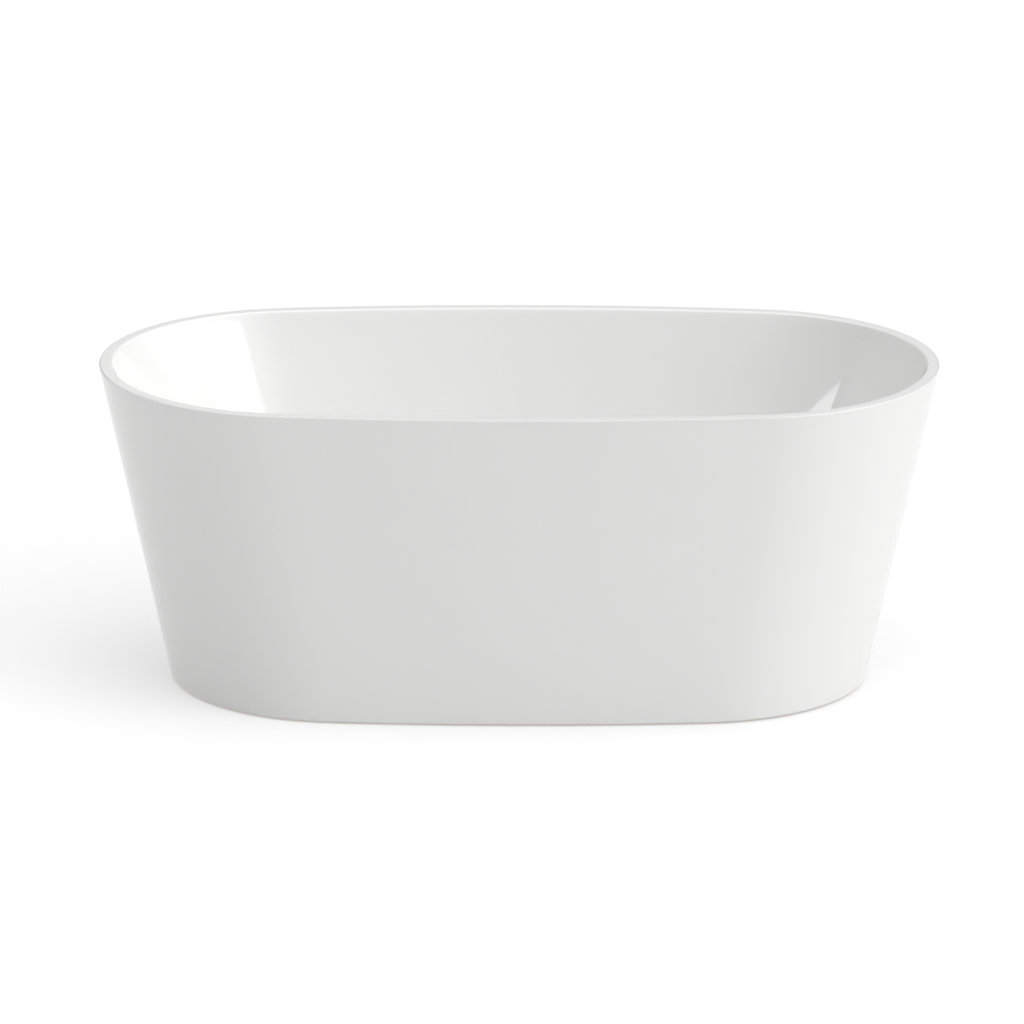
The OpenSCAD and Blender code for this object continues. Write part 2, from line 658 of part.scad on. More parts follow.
module foot_nodes() {
    for (i = [1:len(feet)]) {
        foot_pad(feet[i - 1]);
        foot_stud(feet[i - 1]);
    }
}
basin_shell();
outer_skirt();
rim_bond();
skirt_stiffener();
skirt_blocks();
base_board();
rail(-1);  // rail_front
rail(1);  // rail_back
crossbar(-bar_x);  // crossbar_left
crossbar(-mid_bar_x);  // crossbar_middle
crossbar(bar_x);  // crossbar_right
tube_caps();
frame_bolts();
board_screws();
skirt_brackets();
bracket_screws();
weld_nuts();
lock_nuts();
foot_nodes();
waste_flange();
flange_gasket();
lower_gasket();
back_nut();
plug_cap();
plug_seal();
plug_stem();
plug_rotor();
plug_spring();
plug_cartridge();
waste_tee();
tee_nut();
tee_washer();
tailpiece();
tail_nut();
tail_washer();
overflow_cover();
overflow_screw();
overflow_gasket();
overflow_body();
overflow_hose();
clamp_top();
clamp_bottom();
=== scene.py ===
"""The looks of a freestanding double-skin bathtub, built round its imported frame."""

import math

import bmesh
import bpy
from mathutils import Matrix, Vector


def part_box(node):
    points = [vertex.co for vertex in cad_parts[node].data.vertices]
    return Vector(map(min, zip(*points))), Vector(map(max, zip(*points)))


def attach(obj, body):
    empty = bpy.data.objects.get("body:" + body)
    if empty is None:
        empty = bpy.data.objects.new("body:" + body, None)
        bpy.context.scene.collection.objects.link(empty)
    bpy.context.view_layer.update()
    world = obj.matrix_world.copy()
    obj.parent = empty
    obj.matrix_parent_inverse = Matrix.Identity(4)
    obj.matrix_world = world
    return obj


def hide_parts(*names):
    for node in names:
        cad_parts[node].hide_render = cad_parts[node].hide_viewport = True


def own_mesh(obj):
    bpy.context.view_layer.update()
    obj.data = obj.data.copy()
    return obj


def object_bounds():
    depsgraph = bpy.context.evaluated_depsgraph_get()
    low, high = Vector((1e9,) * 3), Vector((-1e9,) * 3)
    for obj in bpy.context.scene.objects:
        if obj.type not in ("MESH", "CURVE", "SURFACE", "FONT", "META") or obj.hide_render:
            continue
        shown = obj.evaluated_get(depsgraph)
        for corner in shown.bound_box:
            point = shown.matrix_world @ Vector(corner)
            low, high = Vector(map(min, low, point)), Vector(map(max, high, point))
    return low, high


bl_info = {
    "name": "Freestanding bathtub",
    "version": (1, 0, 0),
    "blender": (4, 5, 0),
    "location": "3D View > Sidebar > Bathtub",
    "description": "Builds the glossy shells, fittings and finishes of a freestanding bathtub",
    "category": "Object",
}

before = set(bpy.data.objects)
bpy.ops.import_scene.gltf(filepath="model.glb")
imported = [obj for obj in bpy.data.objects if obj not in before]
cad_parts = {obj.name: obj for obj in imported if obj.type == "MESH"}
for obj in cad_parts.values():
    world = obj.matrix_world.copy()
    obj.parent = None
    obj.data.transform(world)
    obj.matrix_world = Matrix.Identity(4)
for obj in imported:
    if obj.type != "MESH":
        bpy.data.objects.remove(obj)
cad_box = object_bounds()

MM = 0.001
TUB_LOW, TUB_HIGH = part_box("basin_shell")
SKIRT_LOW, SKIRT_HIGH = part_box("outer_skirt")
RIM_Z = TUB_HIGH.z
RIM_A = TUB_HIGH.x
RIM_B = TUB_HIGH.y
SKIRT_FOOT = SKIRT_LOW.z
SKIRT_TOP = SKIRT_HIGH.z
BASIN_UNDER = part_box("back_nut")[1].z + 3 * MM
WASTE_HOLE = 24 * MM  # radius
OVERFLOW_HOLE = 22 * MM  # radius
# Points of an oval: each end arc, each long side, all round, and the passes that ease its curvature
END_STEPS = 128
SIDE_STEPS = 48
RING = 2 * (END_STEPS + SIDE_STEPS)
SOFTEN_PASSES = 24
# Edges that turn by more degrees than this stay crisp
SHARP = 40.0
TURNED_SHARP = 35.0
RIB_SHARP = 80.0
WELD = 1e-6
# Studio: reach of the floor and the camera, and the brightness of the white behind the tub
FLOOR_RADIUS = 60.0
CLIP_END = 200.0
BACKDROP = 1.2


# ---- settings ----


class BathtubSizes(bpy.types.PropertyGroup):
    """Sizes of the two shells that the frame's boxes don't give."""

    side_radius: bpy.props.FloatProperty(
        name="Side radius", description="Plan radius of the long sides", default=4.0, min=2.0,
        unit="LENGTH",
    )
    foot_length: bpy.props.FloatProperty(
        name="Foot length", description="Length of the skirt at its foot", default=1.25, min=0.5,
        unit="LENGTH",
    )
    foot_width: bpy.props.FloatProperty(
        name="Foot width", description="Width of the skirt at its foot", default=0.65, min=0.3,
        unit="LENGTH",
    )
    rim_width: bpy.props.FloatProperty(
        name="Rim width", description="Outer face to basin wall", default=24 * MM, min=5 * MM,
        unit="LENGTH",
    )
    rim_outer_radius: bpy.props.FloatProperty(
        name="Rim outer radius", description="Rounding of the outer edge", default=3 * MM, min=0,
        unit="LENGTH",
    )
    rim_inner_radius: bpy.props.FloatProperty(
        name="Rim inner radius", description="Rounding of the inner edge", default=5 * MM, min=0,
        unit="LENGTH",
    )
    shell_wall: bpy.props.FloatProperty(
        name="Shell wall", description="Thickness of the basin shell", default=8 * MM, min=MM,
        unit="LENGTH",
    )
    skirt_wall: bpy.props.FloatProperty(
        name="Skirt wall", description="Thickness of the skirt", default=6 * MM, min=MM, unit="LENGTH"
    )
    floor_length: bpy.props.FloatProperty(
        name="Floor length", description="Flat part of the basin floor", default=0.86, min=0.2,
        unit="LENGTH",
    )
    floor_width: bpy.props.FloatProperty(
        name="Floor width", description="Flat part of the basin floor", default=0.30, min=0.1,
        unit="LENGTH",
    )
    floor_curve: bpy.props.FloatProperty(
        name="Floor curve", description="Height of the curve up to the wall", default=85 * MM,
        unit="LENGTH",
    )
    wall_share: bpy.props.FloatProperty(
        name="Wall share", description="Share of the inset that the straight wall takes", default=0.55
    )
    overflow_drop: bpy.props.FloatProperty(
        name="Overflow drop", description="Overflow's centre below the rim", default=118 * MM,
        unit="LENGTH",
    )


class BathtubFittings(bpy.types.PropertyGroup):
    """Sizes of the waste and overflow fittings that the frame's boxes don't give."""

    plug_travel: bpy.props.FloatProperty(
        name="Plug travel", description="Drop of the plug from open to shut", default=9 * MM,
        unit="LENGTH",
    )
    spring_wire: bpy.props.FloatProperty(
        name="Spring wire", description="Wire of the plug's spring", default=1.1 * MM, unit="LENGTH"
    )
    spring_turns: bpy.props.FloatProperty(
        name="Spring turns", description="Turns of the spring", default=3.5, min=1
    )
    cover_diameter: bpy.props.FloatProperty(
        name="Cover diameter", description="Overflow's round cover", default=60 * MM, unit="LENGTH"
    )
    hose_diameter: bpy.props.FloatProperty(
        name="Hose diameter", description="Over the ribs", default=26 * MM, unit="LENGTH"
    )
    hose_bore: bpy.props.FloatProperty(
        name="Hose bore", description="Inside diameter", default=20.2 * MM, unit="LENGTH"
    )
    hose_bend: bpy.props.FloatProperty(
        name="Hose bend", description="Radius of the bend's centre line", default=80 * MM, unit="LENGTH"
    )
    hose_down: bpy.props.FloatProperty(
        name="Hose start", description="Down the wall from the overflow's centre", default=40 * MM,
        unit="LENGTH",
    )
    hose_behind: bpy.props.FloatProperty(
        name="Hose depth", description="Behind the wall's face", default=23 * MM, unit="LENGTH"
    )
    rib_pitch: bpy.props.FloatProperty(
        name="Rib pitch", description="From rib to rib", default=4 * MM, min=MM, unit="LENGTH"
    )
    rib_depth: bpy.props.FloatProperty(
        name="Rib depth", description="Depth of the grooves", default=MM, unit="LENGTH"
    )


class BathtubColours(bpy.types.PropertyGroup):
    """Colours of the finishes."""

    acrylic: bpy.props.FloatVectorProperty(
        name="Basin acrylic", description="Sheet of the basin", subtype="COLOR", size=3,
        default=(0.83, 0.83, 0.827),
    )
    # Painted shade: the skirt and the rim's outer lip get a darker copy of the basin's acrylic,
    # standing in for the shade they sit in; the basin keeps the lighter copy.
    skirt_acrylic: bpy.props.FloatVectorProperty(
        name="Skirt acrylic", description="Sheet of the skirt and of the rim's outer lip",
        subtype="COLOR", size=3, default=(0.69, 0.69, 0.687),
    )
    backing: bpy.props.FloatVectorProperty(
        name="Backing", description="Glass fibre behind the shells", subtype="COLOR", size=3,
        default=(0.66, 0.64, 0.55),
    )
    plywood: bpy.props.FloatVectorProperty(
        name="Plywood", description="Boards and blocks", subtype="COLOR", size=3,
        default=(0.56, 0.39, 0.22),
    )
    steel_paint: bpy.props.FloatVectorProperty(
        name="Steel paint", description="Tubes of the frame", subtype="COLOR", size=3,
        default=(0.05, 0.053, 0.057),
    )
    chrome: bpy.props.FloatVectorProperty(
        name="Chrome", description="Waste and overflow", subtype="COLOR", size=3,
        default=(0.80, 0.81, 0.82),
    )
    brass: bpy.props.FloatVectorProperty(
        name="Brass", description="Nut and stem of the waste", subtype="COLOR", size=3,
        default=(0.72, 0.53, 0.24),
    )
    floor: bpy.props.FloatVectorProperty(
        name="Studio floor", description="Pale floor", subtype="COLOR", size=3,
        default=(0.61, 0.61, 0.61),
    )


class BathtubStudio(bpy.types.PropertyGroup):
    """Camera of the studio."""

    distance: bpy.props.FloatProperty(
        name="Camera distance", description="From the tub's middle", default=21.484, min=2.0,
        unit="LENGTH",
    )
    elevation: bpy.props.FloatProperty(
        name="Camera elevation", description="Above the horizon", default=math.radians(16.78),
        subtype="ANGLE",
    )
    roll: bpy.props.FloatProperty(
        name="Camera roll", description="Lean to the left", default=math.radians(0.12), subtype="ANGLE"
    )
    lens: bpy.props.FloatProperty(
        name="Lens", description="Focal length in millimetres", default=421.6, min=20.0
    )
    aim_height: bpy.props.FloatProperty(
        name="Aim height", description="Height that the camera looks at", default=0.300, unit="LENGTH"
    )
    aim_side: bpy.props.FloatProperty(
        name="Aim side", description="Sideways place that the camera looks at", default=-0.0125,
        unit="LENGTH",
    )


# ---- shader sheets ----


class Signal:
    """One shader socket, used in sums and products as a number would be."""

    def __init__(self, sheet, socket):
        self.sheet = sheet
        self.socket = socket

    def _math(self, operation, first, second):
        return self.sheet.node("ShaderNodeMath", {"operation": operation}, {0: first, 1: second})

    def __add__(self, other):
        return self._math("ADD", self, other)

    __radd__ = __add__

    def __sub__(self, other):
        return self._math("SUBTRACT", self, other)

    def __rsub__(self, other):
        return self._math("SUBTRACT", other, self)

    def __mul__(self, other):
        return self._math("MULTIPLY", self, other)

    __rmul__ = __mul__

    def between(self, low, high):
        """0 below low, 1 above high, smooth between."""
        return self.sheet.node(
            "ShaderNodeMapRange",
            {"interpolation_type": "SMOOTHSTEP"},
            {0: self, 1: low, 2: high, 3: 0.0, 4: 1.0},
        )


class Sheet:
    """A node tree that is written as expressions."""

    def __init__(self, tree):
        self.tree = tree
        tree.nodes.clear()

    def node(self, kind, settings=None, inputs=None, out=0):
        made = self.tree.nodes.new(kind)
        for key, value in (settings or {}).items():
            setattr(made, key, value)
        for key, value in (inputs or {}).items():
            if isinstance(value, Signal):
                self.tree.links.new(value.socket, made.inputs[key])
            else:
                made.inputs[key].default_value = value
        return Signal(self, made.outputs[out])

    def place(self, scale=(1, 1, 1), turn=(0, 0, 0)):
        """Object coordinates, scaled and turned."""
        where = self.node("ShaderNodeTexCoord", out="Object")
        return self.node("ShaderNodeMapping", {}, {"Vector": where, "Scale": scale, "Rotation": turn})

    def noise(self, scale, detail=3.0, stretch=(1, 1, 1), rough=0.5, out="Fac"):
        return self.node(
            "ShaderNodeTexNoise",
            {},
            {"Vector": self.place(stretch), "Scale": scale, "Detail": detail, "Roughness": rough},
            out,
        )

    def mix(self, share, first, second):
        return self.node("ShaderNodeMix", {"data_type": "RGBA"}, {0: share, 6: first, 7: second}, 2)

    def bump(self, height, strength, distance):
        inputs = {"Height": height, "Strength": strength, "Distance": distance}
        return self.node("ShaderNodeBump", {}, inputs)


class Finish(Sheet):
    """A material with one Principled shader, whose fixed values are set on its own sockets."""

    def __init__(self, name, **fixed):
        self.material = bpy.data.materials.new(name)
        self.material.use_nodes = True
        super().__init__(self.material.node_tree)
        self.shader = self.tree.nodes.new("ShaderNodeBsdfPrincipled")
        output = self.tree.nodes.new("ShaderNodeOutputMaterial")
        self.tree.links.new(self.shader.outputs[0], output.inputs[0])
        for key, value in fixed.items():
            self.shader.inputs[key.replace("_", " ")].default_value = value

    def feed(self, name, signal):
        self.tree.links.new(signal.socket, self.shader.inputs[name])


def rgba(colour, gain=1.0):
    return tuple(min(1.0, channel * gain) for channel in colour) + (1.0,)


# ---- finishes ----


def gloss_acrylic(name, colour):
    """Polished sheet: faint cloud, wipe marks in the gloss and the slow waves of vacuum forming."""
    finish = Finish(name, IOR=1.49)
    cloud = finish.noise(3.0, 2.0)
    finish.feed("Base Color", finish.mix(cloud, rgba(colour, 0.988), rgba(colour, 1.008)))
    wipes = finish.noise(9.0, 5.0, (1.0, 1.0, 0.3))
    finish.feed("Roughness", 0.018 + 0.03 * wipes.between(0.35, 0.75))
    waves = finish.noise(2.2, 1.0)
    peel = finish.noise(240.0, 1.0)
    finish.feed("Normal", finish.bump(waves * 0.5 + peel * 0.002, 0.25, 0.004))
    return finish.material


def glass_fibre(colour):
    """Rolled resin over chopped strands, on the hidden side of both shells."""
    finish = Finish("glass_fibre_backing", IOR=1.5)
    strands = finish.noise(60.0, 4.0, (1.0, 4.0, 1.0)) + finish.noise(60.0, 4.0, (4.0, 1.0, 2.0))
    patches = finish.noise(7.0, 3.0)
    colour_mix = finish.mix(strands.between(0.8, 1.25), rgba(colour, 0.86), rgba(colour, 1.08))
    finish.feed("Base Color", finish.mix(patches * 0.35, colour_mix, rgba((0.80, 0.78, 0.70))))
    finish.feed("Roughness", 0.42 + 0.3 * patches)
    finish.feed("Normal", finish.bump(strands, 0.7, 0.0015))
    return finish.material


def plywood(colour):
    """Rotary-cut face grain, with the plies' lines on the sawn edges."""
    finish = Finish("plywood", IOR=1.45)
    grain = finish.noise(14.0, 6.0, (0.6, 9.0, 9.0), 0.6)
    pores = finish.noise(90.0, 2.0, (0.5, 8.0, 8.0))
    face = finish.mix(grain.between(0.3, 0.7), rgba(colour, 0.72), rgba(colour, 1.18))
    layers = finish.node(
        "ShaderNodeTexWave",
        {"bands_direction": "Z"},
        {"Vector": finish.place(), "Scale": 55.0, "Distortion": 0.4},
        1,
    )
    edge = finish.mix(layers.between(0.4, 0.6), rgba(colour, 0.55), rgba(colour, 1.1))
    facing = finish.node("ShaderNodeNewGeometry", out="Normal")
    upright = finish.node("ShaderNodeSeparateXYZ", {}, {0: facing}, 2)
    flat = finish.node("ShaderNodeMath", {"operation": "ABSOLUTE"}, {0: upright})
    finish.feed("Base Color", finish.mix(flat.between(0.5, 0.7), edge, face))
    finish.feed("Roughness", 0.62 + 0.2 * pores)
    finish.feed("Normal", finish.bump(grain + pores * 0.5, 0.35, 0.0008))
    return finish.material


def powder_coat(colour):
    """Baked coating with a fine orange peel."""
    finish = Finish("powder_coated_steel", IOR=1.5)
    peel = finish.noise(900.0, 2.0)
    dust = finish.noise(12.0, 5.0)
    finish.feed("Base Color", finish.mix(dust.between(0.45, 0.8), rgba(colour), rgba(colour, 1.9)))
    finish.feed("Roughness", 0.34 + 0.2 * dust)
    finish.feed("Normal", finish.bump(peel, 0.35, 0.0004))
    return finish.material


def zinc_plate():
    """Bright zinc with its spangle and handling marks."""
    finish = Finish("zinc_plated_steel", Metallic=1.0)
    cells = finish.node("ShaderNodeTexVoronoi", {}, {"Vector": finish.place(), "Scale": 180.0}, "Color")
    tone = finish.node("ShaderNodeSeparateColor", {}, {0: cells}, 0)
    marks = finish.noise(70.0, 6.0)
    finish.feed("Base Color", finish.mix(tone, rgba((0.50, 0.51, 0.53)), rgba((0.66, 0.67, 0.68))))
    finish.feed("Roughness", 0.24 + 0.12 * tone + 0.14 * marks)
    finish.feed("Normal", finish.bump(marks, 0.15, 0.0003))
    return finish.material


def chrome_plate(colour):
    """Polished plate with faint water marks."""
    finish = Finish("chrome_plate", Metallic=1.0)
    spots = finish.noise(120.0, 4.0)
    finish.feed("Base Color", finish.mix(spots.between(0.5, 0.8), rgba(colour), rgba(colour, 0.93)))
    finish.feed("Roughness", 0.05 + 0.09 * spots.between(0.45, 0.75))
    finish.feed("Normal", finish.bump(finish.noise(40.0, 1.0), 0.03, 0.0005))
    return finish.material


def turned_brass(colour):
    """Bare brass with the lathe's rings and a little tarnish."""
    finish = Finish("turned_brass", Metallic=1.0)
    rings = finish.node(
        "ShaderNodeTexWave", {"bands_direction": "Z"}, {"Vector": finish.place(), "Scale": 900.0}, 1
    )
    tarnish = finish.noise(45.0, 5.0)
    finish.feed("Base Color", finish.mix(tarnish.between(0.4, 0.75), rgba(colour), rgba(colour, 0.6)))
    finish.feed("Roughness", 0.22 + 0.25 * tarnish)
    finish.feed("Normal", finish.bump(rings, 0.12, 0.0002))
    return finish.material


def soft_rubber():
    """Black moulded rubber with a bloom of talc."""
    finish = Finish("black_rubber", IOR=1.5)
    bloom = finish.noise(60.0, 5.0)
    black, grey = rgba((0.018, 0.018, 0.019)), rgba((0.06, 0.06, 0.06))
    finish.feed("Base Color", finish.mix(bloom.between(0.5, 0.9), black, grey))
    finish.feed("Roughness", 0.6 + 0.25 * bloom)
    finish.feed("Normal", finish.bump(finish.noise(800.0, 2.0), 0.3, 0.0002))
    return finish.material


def moulded_plastic(name, colour, roughness, grain):
    """Moulded part with a fine spark-eroded grain and slow flow marks."""
    finish = Finish(name, IOR=1.49)
    flow = finish.noise(16.0, 3.0)
    skin = finish.noise(1400.0, 2.0)
    finish.feed("Base Color", finish.mix(flow, rgba(colour, 0.93), rgba(colour, 1.05)))
    finish.feed("Roughness", roughness + 0.12 * flow)
    finish.feed("Normal", finish.bump(skin + flow * 0.4, grain, 0.0003))
    return finish.material


def studio_floor(colour):
    """Pale seamless floor."""
    finish = Finish("studio_floor", IOR=1.3, Emission_Color=(1, 1, 1, 1), Emission_Strength=0.36)
    tone = finish.noise(1.2, 2.0)
    finish.feed("Base Color", finish.mix(tone, rgba(colour, 0.995), rgba(colour, 1.005)))
    finish.feed("Roughness", 0.75 + 0.1 * tone)
    return finish.material


# ---- outlines ----


def end_radius(a, b, side):
    """End radius of a four-arc oval with half sizes a and b and long sides of radius side."""
    return (a * a + b * b - 2 * b * side) / (2 * (a - side))


def oval(a, b, side):
    """Points round a four-arc oval, with the change of curvature eased, in the plane."""
    end = end_radius(a, b, side)
    turn = math.atan2(side - b, a - end)
    points = []
    for half in (0, math.pi):
        flip = math.cos(half)
        for i in range(END_STEPS):
            q = -turn + 2 * turn * i / END_STEPS
            points.append(Vector((flip * (a - end + end * math.cos(q)), flip * end * math.sin(q))))
        for i in range(SIDE_STEPS):
            q = turn + (math.pi - 2 * turn) * i / SIDE_STEPS
            points.append(Vector((flip * side * math.cos(q), flip * (b - side + side * math.sin(q)))))
    for _ in range(SOFTEN_PASSES):
        points = [(points[i - 1] + 2 * points[i] + points[(i + 1) % RING]) / 4 for i in range(RING)]
    wide = max(p.x for p in points)
    deep = max(p.y for p in points)
    return [Vector((p.x * a / wide, p.y * b / deep)) for p in points]


def level(outline, z):
    return [Vector((p.x, p.y, z)) for p in outline]


def between(first, second, share):
    return [p.lerp(q, share) for p, q in zip(first, second)]


def skirt_outer(sizes, z, inset=0.0):
    """Ring on the skirt's ruled outer face at height z, pulled in by inset."""
    top = RIM_Z - sizes.rim_outer_radius
    foot = oval(sizes.foot_length / 2 - inset, sizes.foot_width / 2 - inset, sizes.side_radius)
    rim = oval(RIM_A - inset, RIM_B - inset, sizes.side_radius)
    share = (z - SKIRT_FOOT) / (top - SKIRT_FOOT)
    return level(between(foot, rim, share), z)


# ---- mesh tools ----


def place_mesh(mesh, name, finishes, body, sharp=SHARP):
    """Turns a bmesh into a linked object that rides on a body."""
    bmesh.ops.recalc_face_normals(mesh, faces=mesh.faces[:])
    for edge in mesh.edges:
        if len(edge.link_faces) == 2 and edge.calc_face_angle(0.0) > math.radians(sharp):
            edge.smooth = False
    for face in mesh.faces:
        face.smooth = True
    data = bpy.data.meshes.new(name)
    mesh.to_mesh(data)
    mesh.free()
    made = bpy.data.objects.new(name, data)
    bpy.context.scene.collection.objects.link(made)
    for finish in finishes:
        data.materials.append(finish)
    if body:
        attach(made, body)
    return made


class Loft:
    """Rings of points, each extruded from the last."""

    def __init__(self, points):
        self.mesh = bmesh.new()
        self.spot = self.mesh.verts.layers.int.new("spot")
        self.ring = bmesh.ops.create_circle(self.mesh, segments=len(points), radius=1.0)["verts"]
        for i, vert in enumerate(self.ring):
            vert[self.spot] = i
        self.edges = self.mesh.edges[:]
        self.finish = 0
        self._move(points)

    def _move(self, points):
        for vert in self.ring:
            vert.co = points[vert[self.spot]]

    def step(self, points):
        made = bmesh.ops.extrude_edge_only(self.mesh, edges=self.edges)["geom"]
        self.ring = [part for part in made if isinstance(part, bmesh.types.BMVert)]
        fresh = set(self.ring)
        self.edges = [
            part for part in made if isinstance(part, bmesh.types.BMEdge) and set(part.verts) <= fresh
        ]
        for part in made:
            if isinstance(part, bmesh.types.BMFace):
                part.material_index = self.finish
        self._move(points)

    def run(self, rings):
        for ring in rings:
            self.step(ring)

    def merged(self):
        bmesh.ops.remove_doubles(self.mesh, verts=self.mesh.verts[:], dist=WELD)
        return self.mesh


def turned(profile, steps=96):
    """Bmesh of a profile of (radius, height) spun round the Z axis."""
    mesh = bmesh.new()
    verts = [mesh.verts.new((r, 0, z)) for r, z in profile]
    edges = [mesh.edges.new(pair) for pair in zip(verts, verts[1:])]
    bmesh.ops.spin(
        mesh,
        geom=verts + edges,
        cent=(0, 0, 0),
        axis=(0, 0, 1),
        dvec=(0, 0, 0),
        angle=math.tau,
        steps=steps,
        use_merge=True,
        use_duplicate=False,
    )
    bmesh.ops.remove_doubles(mesh, verts=mesh.verts[:], dist=WELD)
    return mesh


def arc(cx, cz, radius, start, stop, steps=6):
    """Points of an arc in the profile plane, angles in degrees."""
    return [
        (cx + radius * math.cos(math.radians(q)), cz + radius * math.sin(math.radians(q)))
        for q in [start + (stop - start) * i / steps for i in range(steps + 1)]
    ]


def cut(made, cutters):
    """Takes the cutters' bmeshes out of an object and applies the result."""
    for mesh in cutters:
        data = bpy.data.meshes.new("cutter")
        mesh.to_mesh(data)
        mesh.free()
        tool = bpy.data.objects.new("cutter", data)
        bpy.context.scene.collection.objects.link(tool)
        step = made.modifiers.new("cut", "BOOLEAN")
        step.operation = "DIFFERENCE"
        step.solver = "EXACT"
        step.object = tool
        bpy.context.view_layer.update()
        shape = made.evaluated_get(bpy.context.evaluated_depsgraph_get())
        data = bpy.data.meshes.new_from_object(shape)
        made.modifiers.remove(step)
        old = made.data
        made.data = data
        bpy.data.meshes.remove(old)
        bpy.data.objects.remove(tool)
    return made


def rod(radius, start, stop, steps=48):
    """Bmesh cylinder along Z."""
    mesh = bmesh.new()
    bmesh.ops.create_cone(
        mesh, cap_ends=True, segments=steps, radius1=radius, radius2=radius, depth=stop - start
    )
    bmesh.ops.translate(mesh, verts=mesh.verts[:], vec=(0, 0, (start + stop) / 2))
    return mesh


def block(size, centre):
    mesh = bmesh.new()
    bmesh.ops.create_cube(mesh, size=1.0)
    bmesh.ops.scale(mesh, verts=mesh.verts[:], vec=size)
    bmesh.ops.translate(mesh, verts=mesh.verts[:], vec=centre)
    return mesh


def moved(mesh, matrix):
    bmesh.ops.transform(mesh, verts=mesh.verts[:], matrix=matrix)
    return mesh


# ---- the basin ----


def basin_sizes(sizes):
    """Half sizes of the basin at the rim, and its profile as (share of the inset, height)."""
    in_a = RIM_A - sizes.rim_width
    in_b = RIM_B - sizes.rim_width
    floor_z = BASIN_UNDER + sizes.shell_wall
    wall_top = RIM_Z - sizes.rim_inner_radius
    curve_top = floor_z + sizes.floor_curve
    share = sizes.wall_share
    middle = share * (wall_top - floor_z) / (wall_top - curve_top)
    steps = [0.03 + 0.97 * i / 12 for i in range(13)]
    wall = [(share * t, wall_top - (wall_top - curve_top) * t) for t in steps]
    curve = []
    for i in range(1, 25):
        t = i / 24
        u = 1 - t
        inset = u * u * share + 2 * u * t * middle + t * t
        curve.append((inset, u * u * curve_top + (1 - u * u) * floor_z))
    return in_a, in_b, floor_z, wall + curve


def wall_frame(sizes):
    """The overflow's frame: +Z into the basin along the wall's normal, +Y down the wall."""
    in_a, in_b, floor_z, _ = basin_sizes(sizes)
    wall_top = RIM_Z - sizes.rim_inner_radius
    rise = wall_top - floor_z - sizes.floor_curve
    tilt = math.atan(sizes.wall_share * (in_b - sizes.floor_width / 2) / rise)
    z = RIM_Z - sizes.overflow_drop
    y = in_b - math.tan(tilt) * (wall_top - z)
    return Matrix.Translation((0, -y, z)) @ Matrix.Rotation(tilt - math.pi / 2, 4, "X"), tilt


class BuildBasin(bpy.types.Operator):
    """Builds the basin shell with its rim, as one moulding"""

    bl_idname = "bathtub.build_basin"
    bl_label = "Basin shell"

    def execute(self, context):
        sizes = context.scene.bathtub_sizes
        colours = context.scene.bathtub_colours
        in_a, in_b, floor_z, profile = basin_sizes(sizes)
        side = sizes.side_radius
        wall = sizes.shell_wall
        outer_r = sizes.rim_outer_radius
        inner_r = sizes.rim_inner_radius
        half_l = sizes.floor_length / 2
        half_w = sizes.floor_width / 2

        def inside(share, out=0.0):
            a = in_a - share * (in_a - half_l) + out
            b = in_b - share * (in_b - half_w) + out
            return oval(a, b, side)

        flange_z = RIM_Z - wall
        loft = Loft(skirt_outer(sizes, flange_z))
        # The rim's outer lip takes the skirt's darker acrylic, painted shade whose change of tone is
        # hidden in the edge's rounding.
        loft.finish = 2
        loft.run([skirt_outer(sizes, flange_z + 1 * MM), skirt_outer(sizes, RIM_Z - outer_r - 1 * MM)])
        for q in range(0, 91, 15):
            out = outer_r * (1 - math.cos(math.radians(q)))
            z = RIM_Z - outer_r * (1 - math.sin(math.radians(q)))
            loft.step(level(oval(RIM_A - out, RIM_B - out, side), z))
        loft.finish = 0
        for inset in (outer_r + 1 * MM, sizes.rim_width / 2, sizes.rim_width - inner_r - 1 * MM):
            loft.step(level(oval(RIM_A - inset, RIM_B - inset, side), RIM_Z))
        for q in range(0, 71, 10):
            out = inner_r * (1 - math.sin(math.radians(q)))
            z = RIM_Z - inner_r * (1 - math.cos(math.radians(q)))
            loft.step(level(oval(in_a + out, in_b + out, side), z))
        for share, z in profile:
            loft.step(level(inside(share), z))
        floor_ring = inside(1.0)
        start = math.atan2(floor_ring[0].y, floor_ring[0].x)
        circle = []
        for point in floor_ring:
            q = math.atan2(point.y, point.x)
            circle.append(Vector((WASTE_HOLE * math.cos(q), WASTE_HOLE * math.sin(q))))
        shares = [i / 12 for i in range(1, 13)]
        for t in shares:
            loft.step(level(between(floor_ring, circle, t), floor_z))
        loft.finish = 1
        loft.step(level(circle, BASIN_UNDER))
        for t in reversed(shares[:-1]):
            loft.step(level(between(floor_ring, circle, t), BASIN_UNDER))
        back = []
        for i, (share, z) in enumerate(profile[:-1]):
            before = profile[max(i - 1, 0)]
            after = profile[i + 1]
            slope = math.atan2((after[0] - before[0]) * (in_b - half_w), before[1] - after[1])
            back.append((share, wall * math.cos(slope), z - wall * math.sin(slope)))
        loft.step(level(floor_ring, BASIN_UNDER))
        for share, out, z in reversed(back):
            if z < flange_z - 6 * MM:
                loft.step(level(inside(share, out), z))
        loft.step(level(oval(in_a + wall + 2 * MM, in_b + wall + 2 * MM, side), flange_z))
        loft.step(skirt_outer(sizes, flange_z))
        finishes = [
            gloss_acrylic("basin_acrylic", colours.acrylic),
            glass_fibre(colours.backing),
            # Darker copy of the same acrylic: painted shade for the skirt and the rim's outer lip.
            gloss_acrylic("skirt_acrylic", colours.skirt_acrylic),
        ]
        basin = place_mesh(loft.merged(), "basin", finishes, "tub")
        to_wall, _ = wall_frame(sizes)
        cut(basin, [moved(rod(OVERFLOW_HOLE, -wall - 10 * MM, 15 * MM), to_wall)])
        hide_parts("basin_shell")
        return {"FINISHED"}


